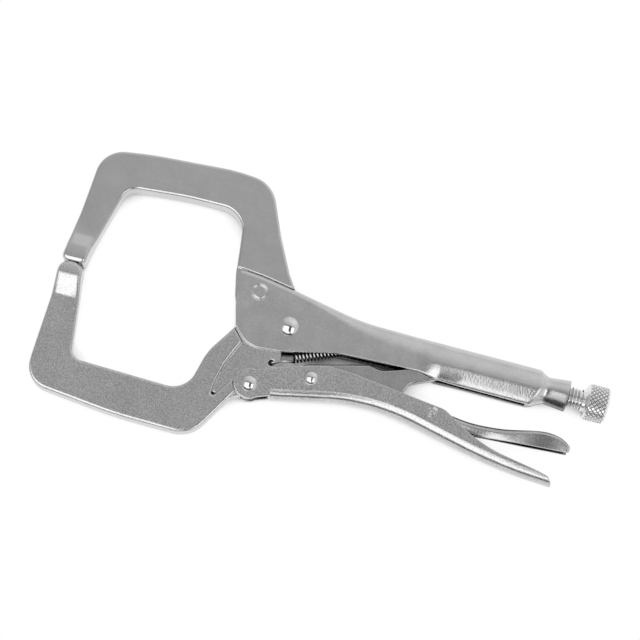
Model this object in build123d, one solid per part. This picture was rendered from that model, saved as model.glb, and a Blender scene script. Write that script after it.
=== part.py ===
from build123d import *

import math
import os

# Locking pliers with C-shaped jaws, closed and locked, lying flat on one side.
# Sizes are millimetres. While it is built, the main pivot is at X 0, Y 0 and the tool's middle plane is Z 0.
# X runs along the adjusting screw towards its head, Y towards the fixed jaw, Z along the rivets.
# At the end everything is shifted, so that Z 0 is the lowest point and the origin is below the middle.

# Pivots, as (x, y)
JAW_PIVOT = (0.0, 0.0)
JAW_RIVET = (-18.2, 12.8)
HANDLE_PIVOT = (-11.7, -32.5)
LINK_PIVOT = (17.0, -22.2)
LEVER_PIVOT = (79.0, -23.4)
SCREW_AXIS_Y = 3.0

# Folded sheet of the two handles
SHEET = 2.5
CHANNEL_INSIDE = 8.3
CHANNEL_HALF = CHANNEL_INSIDE / 2 + SHEET

# Forged jaws
JAW_THICKNESS = 11.0
JAW_EDGE_RADIUS = 1.3
TIP_THICKNESS = 16.0
TIP_EDGE_RADIUS = 2.0
TIP_LINE_Y = 3.8
TIP_GAP = 0.3
FIXED_JAW_TOP_Y = 70.3
MOVING_JAW_LOW_Y = -64.9
TONGUE_SIDE_CLEARANCE = 0.15
TONGUE_THICKNESS = CHANNEL_INSIDE - 2 * TONGUE_SIDE_CLEARANCE
JAW_HUB_RADIUS = 10.0
HANDLE_HUB_RADIUS = 6.4
HUB_CLEARANCE = 0.6
SEAT_CLEARANCE = 0.35
WALL_STEP_CLEARANCE = 0.7
SPRING_HOLE = (-3.8, -19.6)
SPRING_HOLE_DIAMETER = 3.2

# Fixed handle: channel at the front, rolled tube behind, collar at the end
CHANNEL_END_X = 65.0
TUBE_START_X = 77.0
TUBE_SHOULDER_X = 121.0
SHOULDER_LENGTH = 10.5
COLLAR_START_X = TUBE_SHOULDER_X + SHOULDER_LENGTH
COLLAR_LENGTH = 10.5
COLLAR_END_X = COLLAR_START_X + COLLAR_LENGTH
COLLAR_DIAMETER = 15.8
COLLAR_NECK_DIAMETER = 13.4
COLLAR_SEAM = 0.8
TUBE_TOP_Y = 12.2
TUBE_BOTTOM_Y = -6.85
TUBE_WIDTH = 17.4
TUBE_CREASE_Y = 0.4
TUBE_CREASE_LEAN = 11.0
TUBE_LOWER_LEAN = 40.0
ROOF_SLOT_END_X = -2.4
# Front corners of its side walls, which the step in the moving jaw follows
WALL_FRONT_CORNER = (-25.2, -6.4)
WALL_LOW_CORNER = (-19.6, -12.4)

# Moving handle
EAR_RADIUS = 7.5
EAR_END_X = -0.5
EAR_CLEARANCE = 0.6
HANDLE_TAIL_X = 144.0
HANDLE_FOLD_RADIUS = 5.0
# How far the round cut at a handle's tail starts outside its walls
TAIL_OVERRUN = 0.6

# Toggle link
LINK_THICKNESS = 7.2
LINK_BOSS_RADIUS = 7.2
LINK_END = (80.5, 1.5)
LINK_END_RADIUS = 4.1
LINK_EDGE_RADIUS = 1.0

# Release lever
LEVER_SHEET = 1.6
LEVER_SIDE_CLEARANCE = 0.3
LEVER_HALF = CHANNEL_INSIDE / 2 - LEVER_SIDE_CLEARANCE
LEVER_TAIL_HALF = 5.6
LEVER_LEAN = 5.5
LEVER_GRIP_LEAN = 36.0

# Adjusting screw
SCREW_DIAMETER = 10.4
SCREW_BORE_CLEARANCE = 0.08
SCREW_TIP_GAP = 2.6
THREAD_SHOWN = 7.6
THREAD_END_X = COLLAR_END_X + THREAD_SHOWN
SCREW_NECK_DIAMETER = 11.2
SCREW_NECK_LENGTH = 1.8
HEAD_START_X = THREAD_END_X + SCREW_NECK_LENGTH
HEAD_LENGTH = 10.9
HEAD_DIAMETER = 18.3
HEAD_CHAMFER = 1.2

# Rivets
RIVET_RUNNING_CLEARANCE = 0.06
RIVET_HEAD_SEAT = 0.03
RIVET_DOME_HEIGHT = 2.6
RIVET_RIM = 0.5
JAW_PIVOT_SHANK = 7.0
JAW_PIVOT_HEAD = 9.4
HANDLE_PIVOT_SHANK = 6.0
HANDLE_PIVOT_HEAD = 8.2
LINK_RIVET_SHANK = 5.4
LINK_RIVET_HEAD = 7.4
JAW_RIVET_SHANK = 6.2
JAW_RIVET_FLUSH_HEAD = 8.2
LEVER_RIVET_SHANK = 3.6
LEVER_RIVET_HEAD = 5.2

# Tension spring
SPRING_WIRE = 1.1
SPRING_OUTSIDE = 6.2
SPRING_TURNS = 16
SPRING_ANGLE = 23.0
SPRING_AXIS_RISE = 1.8
SPRING_START = 11.5
SPRING_PITCH = 1.75
SPRING_HOOK_REACH = 5.0
SPRING_HOOK_LENGTH = 3.0

# Tab lanced from the fixed handle's roof, where the spring's rear hook hangs
ANCHOR_THICKNESS = 1.6
ANCHOR_WIDTH = 5.0
ANCHOR_HOLE = 2.6
ANCHOR_SLOT = 9.0


def rounded_face(corners):
    """Flat face through (x, y, radius) corners, each corner rounded with its own radius."""
    edges = []
    previous_end = None
    first_start = None
    count = len(corners)
    for index, (x, y, radius) in enumerate(corners):
        here = Vector(x, y)
        before = Vector(*corners[index - 1][:2])
        after = Vector(*corners[(index + 1) % count][:2])
        to_before = (before - here).normalized()
        to_after = (after - here).normalized()
        half_angle = math.acos(max(-1.0, min(1.0, to_before.dot(to_after)))) / 2
        if radius > 0 and half_angle < math.radians(89.9):
            cut_back = radius / math.tan(half_angle)
            start = here + to_before * cut_back
            end = here + to_after * cut_back
            middle = here + (to_before + to_after).normalized() * (radius / math.sin(half_angle) - radius)
        else:
            start = here
            end = here
            middle = None
        if previous_end is None:
            first_start = start
        else:
            edges.append(Line(previous_end, start))
        if middle is not None:
            edges.append(ThreePointArc(start, middle, end))
        previous_end = end
    edges.append(Line(previous_end, first_start))
    return make_face(edges)


def plate(corners, thickness):
    """Flat plate on the middle plane, from rounded corners."""
    return extrude(rounded_face(corners), amount=thickness / 2, both=True)


def disc(center, radius, thickness):
    """Round plate on the middle plane."""
    return Pos(center[0], center[1], 0) * Cylinder(radius, thickness)


def drill(center, diameter):
    """Hole right through the tool, along the rivets."""
    return disc(center, diameter / 2, 60)


def face_edges(shape, height):
    """Edges that lie on the two flat faces at plus and minus this height."""
    flat = []
    for edge in shape.edges():
        box = edge.bounding_box()
        if abs(abs(box.min.Z) - height) < 1e-4 and abs(box.max.Z - box.min.Z) < 1e-4:
            flat.append(edge)
    return flat


def roof_height(x):
    """Height of the fixed handle's roof over the front channel."""
    stations = [(-34.0, 22.8), (-18.0, 21.3), (0.0, 18.35), (16.0, 15.5), (30.0, 13.15), (42.0, 12.3)]
    for (x0, y0), (x1, y1) in zip(stations, stations[1:]):
        if x <= x1:
            return y0 + (y1 - y0) * (x - x0) / (x1 - x0)
    return TUBE_TOP_Y


def channel_section(x, top, fold_height, fold_width, half, low, leans):
    """Section of a folded channel at one X, open side down: a roof, two folds and two walls.

    The walls start below the folds at the first lean, in degrees inwards, and reach the second one at their low end.
    """
    pull = 0.5523
    crease = top - fold_height
    roof_half = half - fold_width
    start_lean, end_lean = [math.tan(math.radians(lean)) for lean in leans]
    low_half = half - (crease - low) * (start_lean + end_lean) / 2
    third = (crease - low) / 3
    edges = []
    walls = []
    for side in (-1, 1):
        wall = [
            Vector(x, low, side * low_half),
            Vector(x, low + third, side * (low_half + third * end_lean)),
            Vector(x, crease - third, side * (half - third * start_lean)),
            Vector(x, crease, side * half),
        ]
        fold = [
            wall[-1],
            Vector(x, crease + pull * fold_height, side * (half + pull * fold_height * start_lean / 3)),
            Vector(x, top, side * (roof_half + pull * fold_width)),
            Vector(x, top, side * roof_half),
        ]
        walls.append((wall, fold))
    (left_wall, left_fold), (right_wall, right_fold) = walls
    edges = [
        Bezier(*left_wall),
        Bezier(*left_fold),
        Line(left_fold[-1], right_fold[-1]),
        Bezier(*reversed(right_fold)),
        Bezier(*reversed(right_wall)),
        Line(right_wall[0], left_wall[0]),
    ]
    return make_face(edges)


def fixed_handle_sections(inset):
    """Sections of the channel, of the part that closes to a tube and of the tube, drawn in by the sheet inside."""
    channel_low = -16.0
    tube_low = TUBE_BOTTOM_Y - 3
    tube_half = TUBE_WIDTH / 2
    tube_fold = TUBE_TOP_Y - TUBE_CREASE_Y
    folds = [(-36.0, 2.6, 2.6), (-27.0, 2.6, 2.6), (-18.0, 2.6, 2.6), (0.0, 2.8, 2.8), (16.0, 4.0, 3.5),
             (30.0, 6.0, 4.2), (44.0, 8.0, 4.9), (56.0, 9.2, 5.4), (CHANNEL_END_X, 9.8, 5.6)]
    stations = [(x, height, width, CHANNEL_HALF, channel_low, 0.0) for x, height, width in folds]
    for share in (0.3, 0.7, 1.0):
        x = CHANNEL_END_X + share * (TUBE_START_X - CHANNEL_END_X)
        eased = share * share * (3 - 2 * share)
        stations.append((
            x,
            9.8 + eased * (tube_fold - 9.8),
            5.6 + eased * (tube_half - 1 - 5.6),
            CHANNEL_HALF + eased * (tube_half - CHANNEL_HALF),
            channel_low + eased * (tube_low - channel_low),
            0.5 * eased,
        ))
    for x in (TUBE_START_X + 11, COLLAR_START_X + 0.5):
        stations.append((x, tube_fold, tube_half - 1, tube_half, tube_low, 1.0))
    sections = []
    for x, fold_height, fold_width, half, low, bulge in stations:
        sections.append(channel_section(
            x, roof_height(x) - inset, max(fold_height - inset, 0.3), max(fold_width - inset, 0.3), half - inset, low,
            (bulge * TUBE_CREASE_LEAN, bulge * TUBE_LOWER_LEAN)))
    return sections[:len(folds)], sections[len(folds) - 1:-1], sections[-2:]


def neck_shape(inset):
    """Round shape that draws the tube in to the collar at the back, about the screw axis."""
    neck = COLLAR_NECK_DIAMETER / 2 - inset
    outer = 13.8 - inset
    middle_x = TUBE_SHOULDER_X + 0.46 * SHOULDER_LENGTH
    middle = neck + 0.42 * (outer - neck)
    profile = make_face([
        Line((-60, 0), (-60, 60)),
        Line((-60, 60), (TUBE_SHOULDER_X, 60)),
        Line((TUBE_SHOULDER_X, 60), (TUBE_SHOULDER_X, outer)),
        ThreePointArc((TUBE_SHOULDER_X, outer), (middle_x, middle), (COLLAR_START_X, neck)),
        Line((COLLAR_START_X, neck), (COLLAR_START_X + 2, neck)),
        Line((COLLAR_START_X + 2, neck), (COLLAR_START_X + 2, 0)),
        Line((COLLAR_START_X + 2, 0), (-60, 0)),
    ])
    return Pos(0, SCREW_AXIS_Y, 0) * revolve(profile, Axis.X)


def screw_cylinder(diameter, start, end):
    """Cylinder on the screw axis between two places along it."""
    return Pos((start + end) / 2, SCREW_AXIS_Y, 0) * Rot(0, 90, 0) * Cylinder(diameter / 2, end - start)


def build_fixed_handle():
    bodies = []
    for inset in (0.0, SHEET):
        channel, closing, tube = fixed_handle_sections(inset)
        bodies.append(loft(channel) + loft(closing, ruled=True) + (loft(tube, ruled=True) & neck_shape(inset)))
    outer, inner = bodies
    side = plate([
        (-30.4, 40, 0),
        (-29.9, 11, 30),
        (*WALL_FRONT_CORNER, 1.0),
        (*WALL_LOW_CORNER, 9),
        (-13.2, -14.4, 10),
        (1.0, -12.9, 50),
        (27.5, -6.6, 30),
        (CHANNEL_END_X + 3, -5.0, 10),
        (TUBE_START_X, TUBE_BOTTOM_Y, 10),
        (COLLAR_END_X + 10, TUBE_BOTTOM_Y, 0),
        (COLLAR_END_X + 10, 40, 0),
    ], 60)
    handle = (outer - inner) & side
    collar = Cone(COLLAR_NECK_DIAMETER / 2, COLLAR_DIAMETER / 2, COLLAR_LENGTH + 0.5)
    handle += Pos(COLLAR_END_X - (COLLAR_LENGTH + 0.5) / 2, SCREW_AXIS_Y, 0) * Rot(0, 90, 0) * collar
    handle -= screw_cylinder(SCREW_DIAMETER + 2 * SCREW_BORE_CLEARANCE, TUBE_SHOULDER_X, COLLAR_END_X + 1)
    seam_length = COLLAR_END_X - TUBE_SHOULDER_X + 2
    handle -= Pos(TUBE_SHOULDER_X + seam_length / 2, SCREW_AXIS_Y - 10, 0) * Box(seam_length, 20, COLLAR_SEAM)
    slot_start = -45
    slot_length = ROOF_SLOT_END_X - slot_start
    handle -= Pos(slot_start + slot_length / 2, 25, 0) * Box(slot_length, 24, CHANNEL_INSIDE)
    handle -= drill(JAW_PIVOT, JAW_PIVOT_SHANK + 2 * RIVET_RUNNING_CLEARANCE)
    handle -= drill(JAW_RIVET, JAW_RIVET_FLUSH_HEAD + 2 * RIVET_RUNNING_CLEARANCE)
    return add_anchor_tab(handle)


def add_anchor_tab(handle):
    """Tab bent down from a slot in the roof, with a hole for the spring's rear hook."""
    hook = anchor_point()
    roof = roof_height(hook.X)
    low = hook.Y - ANCHOR_HOLE
    high = roof - SHEET / 2
    tab = Pos(hook.X, (low + high) / 2, 0) * Box(ANCHOR_THICKNESS, high - low, ANCHOR_WIDTH)
    tab = fillet(tab.edges().filter_by(Axis.X).group_by(Axis.Y)[0], ANCHOR_WIDTH / 4)
    tab -= Pos(hook.X, hook.Y, 0) * Rot(0, 90, 0) * Cylinder(ANCHOR_HOLE / 2, 4 * ANCHOR_THICKNESS)
    slot_middle = hook.X + ANCHOR_THICKNESS / 2 + ANCHOR_SLOT / 2
    handle -= Pos(slot_middle, roof, 0) * Box(ANCHOR_SLOT, 3 * SHEET, ANCHOR_WIDTH)
    return handle + tab


def at_height(low, high, y):
    """X at this Y on the line between two points."""
    return low[0] + (high[0] - low[0]) * (y - low[1]) / (high[1] - low[1])


def forged_bow(outline, sharp_sides):
    """Flat part of a jaw with rounded edges, but for the sides between these pairs of outline corners."""
    bow = plate(outline, JAW_THICKNESS)
    sharp_middles = []
    for first, second in sharp_sides:
        sharp_middles.append(Vector((first[0] + second[0]) / 2, (first[1] + second[1]) / 2))
    rims = []
    for edge in face_edges(bow, JAW_THICKNESS / 2):
        middle = edge.center()
        flat_middle = Vector(middle.X, middle.Y)
        if all((flat_middle - sharp).length > 0.05 for sharp in sharp_middles):
            rims.append(edge)
    return fillet(rims, JAW_EDGE_RADIUS)


def forged_tip(bow, leg_end_y, stations, end_y, nose):
    """Swollen tip that goes on from the leg's end through (y, left x, right x, thickness, edge radius) to a nose.

    The nose is (length, drawn in at the sides, drawn in at the faces).
    """
    length, side_draw, face_draw = nose
    direction = math.copysign(1.0, end_y - leg_end_y)
    last_y, left, right, thickness, edge = stations[-1]
    steps = 5
    rounded = []
    for step in range(steps + 1):
        angle = math.radians(80) * step / steps
        shrink = 1 - math.cos(angle)
        y = end_y - direction * length * (1 - math.sin(angle) / math.sin(math.radians(80)))
        rounded.append((y, left + side_draw * shrink, right - side_draw * shrink, thickness - 2 * face_draw * shrink,
                        edge))
    leg_ends = [face for face in bow.faces() if face.bounding_box().size.Y < 1e-4]
    sections = [min(leg_ends, key=lambda face: abs(face.center().Y - leg_end_y))]
    for y, x0, x1, thick, radius in stations + rounded:
        sections.append(Plane.XZ.offset(-y) * Pos((x0 + x1) / 2, 0) * RectangleRounded(x1 - x0, thick, radius))
    return loft(sections, ruled=True)


def build_fixed_jaw():
    end_y = TIP_LINE_Y + TIP_GAP / 2
    leg_end_y = 19.0
    pad_y = 12.0
    inner_low = (-104.4, 11.0)
    top = FIXED_JAW_TOP_Y
    inner_high = (-95.2, top - 22.8)
    outer_low = (-116.6, 11.0)
    outer_high = (-114.2, 30.0)
    leg_left = at_height(outer_low, outer_high, leg_end_y)
    leg_right = at_height(inner_low, inner_high, leg_end_y)
    leg_end = [(leg_left, leg_end_y), (leg_right, leg_end_y)]
    seat_line = [(x, roof_height(x) + SEAT_CLEARANCE) for x in (-32.5, -18.0, -1.6)]
    jaw = forged_bow([
        (*leg_end[0], 0),
        (*leg_end[1], 0),
        (*inner_high, 8),
        (-66.0, top - 20.0, 150),
        (-35.9, top - 19.5, 12.5),
        (-33.3, 30.0, 60),
        (*seat_line[0], 0),
        (*seat_line[1], 0),
        (*seat_line[2], 0),
        (-6.3, 26.0, 6),
        (-15.2, top - 26.9, 60),
        (-26.0, top - 1.4, 16),
        (-46.0, top, 80),
        (-88.0, top - 3.1, 150),
        (-112.0, top - 6.9, 14),
        (*outer_high, 80),
    ], [leg_end, seat_line[:2], seat_line[1:]])
    jaw += forged_tip(jaw, leg_end_y, [
        (pad_y, at_height(outer_low, outer_high, pad_y), at_height(inner_low, inner_high, pad_y), TIP_THICKNESS,
         TIP_EDGE_RADIUS),
        (7.0, -117.0, -104.9, TIP_THICKNESS, TIP_EDGE_RADIUS),
    ], end_y, (2.2, 2.2, 1.2))
    tongue = plate([
        (-33.2, 29.0, 0),
        (-32.2, 20.0, 40),
        (-29.3, 7.0, 3),
        (-20.5, 1.6, 4),
        (-11.0, 6.4, 0),
        (-2.8, 8.6, 0),
        (-2.8, 19.6, 0),
        (-8.0, 27.5, 0),
    ], TONGUE_THICKNESS)
    tongue -= disc(JAW_PIVOT, JAW_HUB_RADIUS + HUB_CLEARANCE, 60)
    jaw += tongue
    jaw -= drill(JAW_RIVET, JAW_RIVET_SHANK + 2 * RIVET_RUNNING_CLEARANCE)
    return jaw


def tangent_point(point, center, radius, turn):
    """Where a line from a point touches a circle, on the side that turn (1 or -1) picks."""
    dx = point[0] - center[0]
    dy = point[1] - center[1]
    angle = math.atan2(dy, dx) + turn * math.acos(radius / math.hypot(dx, dy))
    return (center[0] + radius * math.cos(angle), center[1] + radius * math.sin(angle))


def build_moving_jaw():
    end_y = TIP_LINE_Y - TIP_GAP / 2
    run = math.hypot(WALL_LOW_CORNER[0] - WALL_FRONT_CORNER[0], WALL_LOW_CORNER[1] - WALL_FRONT_CORNER[1])
    back_x = WALL_STEP_CLEARANCE * (WALL_LOW_CORNER[1] - WALL_FRONT_CORNER[1]) / run
    back_y = -WALL_STEP_CLEARANCE * (WALL_LOW_CORNER[0] - WALL_FRONT_CORNER[0]) / run
    step_front = (WALL_FRONT_CORNER[0] + back_x, WALL_FRONT_CORNER[1] + back_y)
    step_low = (WALL_LOW_CORNER[0] + back_x, WALL_LOW_CORNER[1] + back_y)
    leg_end_y = -14.0
    leg_end = [(-117.0, leg_end_y), (-103.1, leg_end_y)]
    low = MOVING_JAW_LOW_Y
    jaw = forged_bow([
        (*leg_end[0], 0),
        (-118.3, -45.0, 60),
        (-118.4, low + 5.3, 12),
        (-72.0, low + 0.5, 200),
        (-32.8, low, 16),
        (-15.9, -35.9, 0),
        (-20.8, -32.6, 0.6),
        (-28.5, -44.4, 0.8),
        (-28.2, -36.5, 40),
        (-25.4, -24.5, 60),
        (*step_low, 1.0),
        (*step_front, 0),
        (-35.7, -22.3, 30),
        (-40.9, low + 21.0, 12),
        (-99.3, low + 22.4, 6),
        (*leg_end[1], 0),
    ], [leg_end])
    jaw += forged_tip(jaw, leg_end_y, [
        (-3.2, -117.5, -104.9, TIP_THICKNESS, TIP_EDGE_RADIUS),
    ], end_y, (5.6, 4.6, 1.4))
    jaw -= disc(HANDLE_PIVOT, EAR_RADIUS + EAR_CLEARANCE, 60)
    throat = (step_front[0] - 0.4, step_front[1] - 0.8)
    neck_back = (-0.6, -11.4)
    neck_low = (0.4, -20.6)
    tongue = plate([
        (*throat, 0),
        (*tangent_point(throat, JAW_PIVOT, JAW_HUB_RADIUS, -1), 0),
        (*tangent_point(neck_back, JAW_PIVOT, JAW_HUB_RADIUS, 1), 0),
        (*neck_back, 1),
        (*neck_low, 2),
        (*tangent_point(neck_low, HANDLE_PIVOT, HANDLE_HUB_RADIUS, -1), 0),
        (HANDLE_PIVOT[0] - 1.8, HANDLE_PIVOT[1] - HANDLE_HUB_RADIUS + 0.4, 0),
        (-21.2, -42.6, 0),
        (-31.0, -40.0, 0),
        (-33.4, -25.0, 0),
    ], TONGUE_THICKNESS)
    tongue += disc(JAW_PIVOT, JAW_HUB_RADIUS, TONGUE_THICKNESS)
    tongue += disc(HANDLE_PIVOT, HANDLE_HUB_RADIUS, TONGUE_THICKNESS)
    jaw += tongue
    jaw -= drill(JAW_PIVOT, JAW_PIVOT_SHANK + 2 * RIVET_RUNNING_CLEARANCE)
    jaw -= drill(HANDLE_PIVOT, HANDLE_PIVOT_SHANK + 2 * RIVET_RUNNING_CLEARANCE)
    jaw -= drill(SPRING_HOLE, SPRING_HOLE_DIAMETER)
    return jaw


def folded_solid(stations, inset, low):
    """Solid inside a folded lever's faces, through (x, roof y, fold radius, half width, wall leans) stations."""
    sections = []
    for x, roof, fold, half, leans in stations:
        radius = max(fold - inset, 0.3)
        sections.append(channel_section(x, roof - inset, radius, radius, half - inset, low, leans))
    return loft(sections)


def trough_solid(fold_line, inset, width, corner):
    """Solid of a trough with flat walls, above a fold line drawn in by this inset, with two rounded long corners."""
    outline = [(x, y + inset, radius) for x, y, radius in fold_line]
    outline += [(fold_line[-1][0], 20, 0), (fold_line[0][0], 20, 0)]
    trough = plate(outline, width)
    long_edges = [edge for edge in face_edges(trough, width / 2) if edge.center().Y < fold_line[0][1] / 2]
    return fillet(long_edges, corner)


def tail_plan(start_x, end_x, half, corner):
    """Tall block whose plan has two rounded corners at its tail."""
    plan = rounded_face([(start_x, -40, 0), (end_x - 20, -40, 0), (end_x - 20, -half, 0), (end_x, -half, corner),
                         (end_x, half, corner), (end_x - 20, half, 0), (end_x - 20, 40, 0), (start_x, 40, 0)])
    return extrude(Plane.XZ * plan, amount=100, both=True)


def build_moving_handle():
    half = CHANNEL_HALF
    fold_line = [
        (EAR_END_X - 5, -38.0, 0),
        (8.0, -35.3, 150),
        (47.4, -26.4, 102),
        (116.9, -41.7, 240),
        (HANDLE_TAIL_X + 8, -43.8, 0),
    ]
    ear_top_y = -21.3
    wall_top = (22.0, -14.4)
    wall_rise = (wall_top[1] - ear_top_y) / (wall_top[0] - EAR_END_X)
    side = plate([
        (EAR_END_X + 3, -50.0, 0),
        (EAR_END_X + 2, -37.4, 1.5),
        (EAR_END_X - 1, -35.6, 0),
        (EAR_END_X - 1, ear_top_y - wall_rise, 0),
        (*wall_top, 25),
        (33.0, -14.3, 60),
        (84.5, -20.4, 8),
        (100.0, -29.4, 60),
        (112.0, -33.9, 60),
        (136.0, -38.1, 20),
        (141.0, -39.4, 0),
        (HANDLE_TAIL_X, -42.0, 0),
        (HANDLE_TAIL_X, -50.0, 0),
    ], 60)
    ear = plate([
        (EAR_END_X, -35.8, 0),
        (EAR_END_X, ear_top_y, 0),
        (HANDLE_PIVOT[0] + 1.5, HANDLE_PIVOT[1] + EAR_RADIUS - 0.2, 0),
        (HANDLE_PIVOT[0], HANDLE_PIVOT[1], 0),
        (HANDLE_PIVOT[0] + 3.6, HANDLE_PIVOT[1] - EAR_RADIUS + 1.3, 0),
    ], 2 * half)
    ear += disc(HANDLE_PIVOT, EAR_RADIUS, 2 * half)
    ear -= Pos(0, 0, 0) * Box(400, 400, CHANNEL_INSIDE)
    trim = side & tail_plan(-60, HANDLE_TAIL_X, half + TAIL_OVERRUN, 5.6)
    handle = trough_solid(fold_line, 0.0, 2 * half, HANDLE_FOLD_RADIUS) & trim
    handle -= trough_solid(fold_line, SHEET, CHANNEL_INSIDE, HANDLE_FOLD_RADIUS - SHEET)
    handle += ear
    handle -= drill(HANDLE_PIVOT, HANDLE_PIVOT_SHANK + 2 * RIVET_RUNNING_CLEARANCE)
    handle -= drill(LINK_PIVOT, LINK_RIVET_SHANK + 2 * RIVET_RUNNING_CLEARANCE)
    handle -= drill(LEVER_PIVOT, LEVER_RIVET_HEAD + 2 * RIVET_RUNNING_CLEARANCE)
    return handle


def build_toggle_link():
    boss = LINK_BOSS_RADIUS
    nose = LINK_END_RADIUS
    link = plate([
        (LINK_PIVOT[0] - boss, LINK_PIVOT[1] + 0.78 * boss, 0.8 * boss),
        (35.0, -9.9, 12),
        (43.0, -7.9, 6),
        (50.0, -8.9, 6),
        (58.0, -6.2, 20),
        (LINK_END[0] + nose, LINK_END[1] + nose, 0.8 * nose),
        (LINK_END[0] + nose, LINK_END[1] - nose, 0.8 * nose),
        (72.5, -8.4, 10),
        (65.0, -11.6, 6),
        (61.2, -20.2, 1.5),
        (LINK_PIVOT[0] - boss, LINK_PIVOT[1] - boss, 0.8 * boss),
    ], LINK_THICKNESS)
    link = fillet(face_edges(link, LINK_THICKNESS / 2), LINK_EDGE_RADIUS)
    link -= drill(LINK_PIVOT, LINK_RIVET_SHANK + 2 * RIVET_RUNNING_CLEARANCE)
    return link


def build_release_lever():
    half = LEVER_HALF
    tail_half = LEVER_TAIL_HALF
    upright = (0.0, 0.0)
    rolled = (0.25 * LEVER_GRIP_LEAN, LEVER_GRIP_LEAN)
    leaning = (LEVER_LEAN, LEVER_LEAN)
    stations = [
        (62.0, -23.4, 1.8, half, upright),
        (72.0, -21.4, 1.8, half, upright),
        (82.0, -20.9, 1.8, half, upright),
        (90.0, -21.8, 2.4, half, leaning),
        (98.0, -22.5, 2.8, half, rolled),
        (108.0, -22.2, 2.8, half, rolled),
        (119.0, -20.9, 2.6, 0.5 * (half + tail_half), leaning),
        (130.0, -18.7, 2.0, tail_half, leaning),
        (138.0, -17.9, 2.0, tail_half, leaning),
        (144.0, -19.0, 2.0, tail_half, leaning),
        (150.0, -23.4, 2.0, tail_half, leaning),
    ]
    side = plate([
        (64.0, 0.0, 0),
        (64.0, -26.2, 1.5),
        (74.0, -28.0, 8),
        (100.0, -28.7, 60),
        (122.0, -26.9, 80),
        (149.2, -25.1, 0),
        (149.2, 0.0, 0),
    ], 60)
    folded = folded_solid(stations, 0.0, -30.0) - folded_solid(stations, LEVER_SHEET, -30.0)
    lever = folded & side & tail_plan(40, 149.2, tail_half + TAIL_OVERRUN, 4.1)
    lever -= drill(LEVER_PIVOT, LEVER_RIVET_SHANK + 2 * RIVET_RUNNING_CLEARANCE)
    return lever


def build_adjusting_screw():
    tip_x = LINK_END[0] + LINK_END_RADIUS + SCREW_TIP_GAP
    shaft = chamfer(screw_cylinder(SCREW_DIAMETER, tip_x, THREAD_END_X).edges().sort_by(Axis.X)[0], 1.2)
    neck = screw_cylinder(SCREW_NECK_DIAMETER, THREAD_END_X - 0.5, HEAD_START_X + 1)
    head = screw_cylinder(HEAD_DIAMETER, HEAD_START_X, HEAD_START_X + HEAD_LENGTH)
    head = chamfer(head.edges().filter_by(GeomType.CIRCLE), HEAD_CHAMFER)
    return shaft + neck + head


def domed_rivet(center, shank, head, grip):
    """Rivet with a low dome on both sides of a stack of this thickness."""
    seat = grip / 2 + RIVET_HEAD_SEAT
    rim = seat + RIVET_RIM
    top = seat + RIVET_DOME_HEIGHT
    dome_radius = (head * head / 4 + (top - rim) ** 2) / (2 * (top - rim))
    lean = math.asin(head / 2 / dome_radius) / 2
    shoulder = (dome_radius * math.sin(lean), top - dome_radius * (1 - math.cos(lean)))
    profile = make_face([
        Line((0, -top), (0, top)),
        ThreePointArc((0, top), shoulder, (head / 2, rim)),
        Line((head / 2, rim), (head / 2, seat)),
        Line((head / 2, seat), (shank / 2, seat)),
        Line((shank / 2, seat), (shank / 2, -seat)),
        Line((shank / 2, -seat), (head / 2, -seat)),
        Line((head / 2, -seat), (head / 2, -rim)),
        ThreePointArc((head / 2, -rim), (shoulder[0], -shoulder[1]), (0, -top)),
    ])
    return Pos(center[0], center[1], 0) * revolve(Plane.XZ * profile, Axis.Z)


def flush_rivet(center, shank, head, head_depth, groove):
    """Rivet staked flush with the channel's two walls, with a V groove round its middle."""
    top = CHANNEL_HALF
    half_profile = [
        (0, top),
        (head / 2 - 0.3 - 2 * groove, top),
        (head / 2 - 0.3 - groove, top - groove),
        (head / 2 - 0.3, top),
        (head / 2, top),
        (head / 2, top - head_depth),
        (shank / 2, top - head_depth),
    ]
    outline = half_profile + [(radius, -height) for radius, height in reversed(half_profile)]
    lines = [Line(start, end) for start, end in zip(outline, outline[1:] + outline[:1])]
    return Pos(center[0], center[1], 0) * revolve(Plane.XZ * make_face(lines), Axis.Z)


def biarc(start, start_tangent, end, end_tangent):
    """Two arcs from one point and direction to another, smooth where they meet."""
    chord = end - start
    along = chord.dot(start_tangent + end_tangent)
    turn = 2 * (1 - start_tangent.dot(end_tangent))
    if turn < 1e-6:
        length = chord.dot(chord) / (2 * along)
    else:
        length = (-along + math.sqrt(along * along + turn * chord.dot(chord))) / turn
    joint = (start + end + (start_tangent - end_tangent) * length) * 0.5
    first = TangentArc(start, joint, tangent=start_tangent)
    return [first, TangentArc(joint, end, tangent=first % 1)]


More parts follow.
